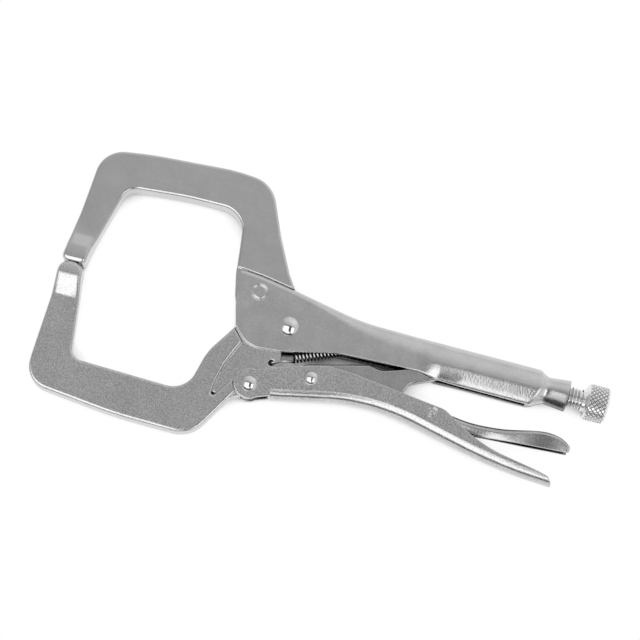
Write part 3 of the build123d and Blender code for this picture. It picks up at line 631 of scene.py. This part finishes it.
def white_floor():
    """White paper: white to the camera and in the metal, with a painted shadow where the tool is
    close over it.
    """
    material = bare_material("white_paper_floor")
    tree = material.node_tree
    ray = add_node(tree, "ShaderNodeLightPath", {})
    seen = add_node(tree, "ShaderNodeMath", {
        0: ray.outputs["Is Camera Ray"], 1: ray.outputs["Is Glossy Ray"]}, operation="MAXIMUM")
    seen = add_node(tree, "ShaderNodeMath", {
        0: seen.outputs[0], 1: ray.outputs["Is Transmission Ray"]}, operation="MAXIMUM")
    covered = add_node(tree, "ShaderNodeAmbientOcclusion", {"Distance": SHADOW_REACH * MM},
                       samples=SHADOW_RAYS)
    shadow = add_node(tree, "ShaderNodeMapRange", {
        "Value": covered.outputs["AO"],
        "From Min": SHADOW_OPENNESS[0], "From Max": SHADOW_OPENNESS[1],
        "To Min": SHADOW_LIGHT, "To Max": 1.0})
    paper = add_node(tree, "ShaderNodeBsdfDiffuse", {"Color": linear("#F4F4F4")})
    glow = add_node(tree, "ShaderNodeEmission", {
        "Color": linear("#FFFFFF"), "Strength": shadow.outputs["Result"]})
    mix = add_node(tree, "ShaderNodeMixShader", {
        "Fac": seen.outputs[0], 1: paper.outputs["BSDF"], 2: glow.outputs["Emission"]})
    add_node(tree, "ShaderNodeOutputMaterial", {"Surface": mix.outputs["Shader"]})
    return material


floor_mesh = bpy.data.meshes.new("floor")
floor_mesh.from_pydata(
    [(x * FLOOR_HALF, y * FLOOR_HALF, 0) for x, y in ((-1, -1), (1, -1), (1, 1), (-1, 1))],
    [], [(0, 1, 2, 3)])
floor_mesh.materials.append(white_floor())
floor = bpy.data.objects.new("floor", floor_mesh)
bpy.context.scene.collection.objects.link(floor)

# How bright the tent is, at so many degrees from straight up towards the front (-Y)
TENT_LIGHT = [
    (-90, 0.95), (-60, 1.05), (-35, 0.95), (-20, 0.76), (-12, 0.69), (-7, 0.52), (-4, 0.20),
    (-1, 0.20), (4, 2.5), (56, 2.5), (66, 0.8), (74, 0.25), (80, 0.12), (90, 0.10)]
# A ramp's colours end at 1, so it holds shares of this brightness
FULL_LIGHT = 4.0
# The opening's edges, in degrees to the right. The left one comes in from the first to the second
# of its values between two leans towards the front. Both edges are equally soft.
OPENING_LEFT = (3.0, 19.0)
OPENING_NARROWS = (40.0, 57.0)
OPENING_RIGHT = 28.0
OPENING_EDGE = 3.5
# The leans between which the opening starts, and the share of the tent's light in it
OPENING_STARTS = (-4.0, 0.0)
OPENING_LIGHT = 0.05
# The tent's left and right ends turn plain grey between these shares of the way to the side
TENT_ENDS = (0.6, 0.85)
TENT_END_LIGHT = 0.75
# A window stands on the right: how far to each side it counts, and how bright left and right are
WINDOW_SIDE = 0.8
WINDOW_LIGHT = (0.8, 1.25)


def studio_tent():
    """A white tent round the tool: pale behind, bright in front, and an opening for the camera."""
    world = bpy.data.worlds.new("studio")
    world.use_nodes = True
    tree = world.node_tree
    tree.nodes.clear()
    where = add_node(tree, "ShaderNodeTexCoord", {})
    heading = add_node(tree, "ShaderNodeSeparateXYZ", {"Vector": where.outputs["Generated"]})
    forward = add_node(tree, "ShaderNodeMath", {
        0: heading.outputs["Y"], 1: -1.0}, operation="MULTIPLY")
    lean = add_node(tree, "ShaderNodeMath", {
        0: forward.outputs[0], 1: heading.outputs["Z"]}, operation="ARCTAN2")
    lean_share = add_node(tree, "ShaderNodeMapRange", {
        "Value": lean.outputs[0], "From Min": -math.pi / 2, "From Max": math.pi / 2})
    cloth = add_node(tree, "ShaderNodeValToRGB", {"Fac": lean_share.outputs["Result"]})
    stops = cloth.color_ramp.elements
    for degrees, _ in TENT_LIGHT[1:-1]:
        stops.new((degrees + 90) / 180)
    for stop, (_, light) in zip(stops, TENT_LIGHT):
        stop.color = [light / FULL_LIGHT] * 3 + [1.0]
    cloth = add_node(tree, "ShaderNodeMath", {
        0: cloth.outputs["Color"], 1: FULL_LIGHT}, operation="MULTIPLY")

    aside = add_node(tree, "ShaderNodeMath", {0: heading.outputs["X"]}, operation="ARCSINE")
    left = add_node(tree, "ShaderNodeMapRange", {
        "Value": lean.outputs[0],
        "From Min": math.radians(OPENING_NARROWS[0]), "From Max": math.radians(OPENING_NARROWS[1]),
        "To Min": math.radians(OPENING_LEFT[0]), "To Max": math.radians(OPENING_LEFT[1])})
    from_left = add_node(tree, "ShaderNodeMath", {
        0: aside.outputs[0], 1: left.outputs["Result"]}, operation="SUBTRACT")
    past_left = add_node(tree, "ShaderNodeMapRange", {
        "Value": from_left.outputs[0],
        "From Min": math.radians(-OPENING_EDGE), "From Max": math.radians(OPENING_EDGE)})
    before_right = add_node(tree, "ShaderNodeMapRange", {
        "Value": aside.outputs[0],
        "From Min": math.radians(OPENING_RIGHT + OPENING_EDGE),
        "From Max": math.radians(OPENING_RIGHT - OPENING_EDGE)})
    past_start = add_node(tree, "ShaderNodeMapRange", {
        "Value": lean.outputs[0],
        "From Min": math.radians(OPENING_STARTS[0]), "From Max": math.radians(OPENING_STARTS[1])})
    opening = add_node(tree, "ShaderNodeMath", {
        0: past_left.outputs["Result"], 1: before_right.outputs["Result"]}, operation="MULTIPLY")
    opening = add_node(tree, "ShaderNodeMath", {
        0: opening.outputs[0], 1: past_start.outputs["Result"]}, operation="MULTIPLY")
    opened = add_node(tree, "ShaderNodeMix", {
        "Factor": opening.outputs[0], "A": 1.0, "B": OPENING_LIGHT})
    front = add_node(tree, "ShaderNodeMath", {
        0: cloth.outputs[0], 1: opened.outputs["Result"]}, operation="MULTIPLY")

    sideways = add_node(tree, "ShaderNodeMath", {0: heading.outputs["X"]}, operation="ABSOLUTE")
    ends = add_node(tree, "ShaderNodeMapRange", {
        "Value": sideways.outputs[0], "From Min": TENT_ENDS[0], "From Max": TENT_ENDS[1]})
    walls = add_node(tree, "ShaderNodeMix", {
        "Factor": ends.outputs["Result"], "A": front.outputs[0], "B": TENT_END_LIGHT})
    window = add_node(tree, "ShaderNodeMapRange", {
        "Value": heading.outputs["X"], "From Min": -WINDOW_SIDE, "From Max": WINDOW_SIDE,
        "To Min": WINDOW_LIGHT[0], "To Max": WINDOW_LIGHT[1]})
    walls = add_node(tree, "ShaderNodeMath", {
        0: walls.outputs["Result"], 1: window.outputs["Result"]}, operation="MULTIPLY")
    room = add_node(tree, "ShaderNodeBackground", {"Strength": walls.outputs[0]})
    add_node(tree, "ShaderNodeOutputWorld", {"Surface": room.outputs["Background"]})
    return world


bpy.context.scene.world = studio_tent()
bpy.context.scene.view_settings.view_transform = "Standard"

# The camera leans to the front from straight above, and rolls. Its place is in millimetres from
# the part's origin.
CAMERA_LEAN = math.radians(12)
CAMERA_ROLL = math.radians(14.8)
CAMERA_PLACE = Vector((-7.981, -231.559, 1125.582))
SENSOR_WIDTH = 36
FOCAL_LENGTH = 129.375
camera_back = Vector((0, -math.sin(CAMERA_LEAN), math.cos(CAMERA_LEAN)))
level_right = Vector((1, 0, 0))
level_up = Vector((0, math.cos(CAMERA_LEAN), math.sin(CAMERA_LEAN)))
camera_right = level_right * math.cos(CAMERA_ROLL) + level_up * math.sin(CAMERA_ROLL)
camera_up = level_up * math.cos(CAMERA_ROLL) - level_right * math.sin(CAMERA_ROLL)
lens = bpy.data.cameras.new("camera")
lens.sensor_width = SENSOR_WIDTH
lens.lens = FOCAL_LENGTH
camera = bpy.data.objects.new("camera", lens)
camera_turn = Matrix((camera_right, camera_up, camera_back)).transposed().to_4x4()
camera.matrix_world = Matrix.Translation(CAMERA_PLACE * MM) @ camera_turn
bpy.context.scene.collection.objects.link(camera)
bpy.context.scene.camera = camera

bpy.context.view_layer.update()
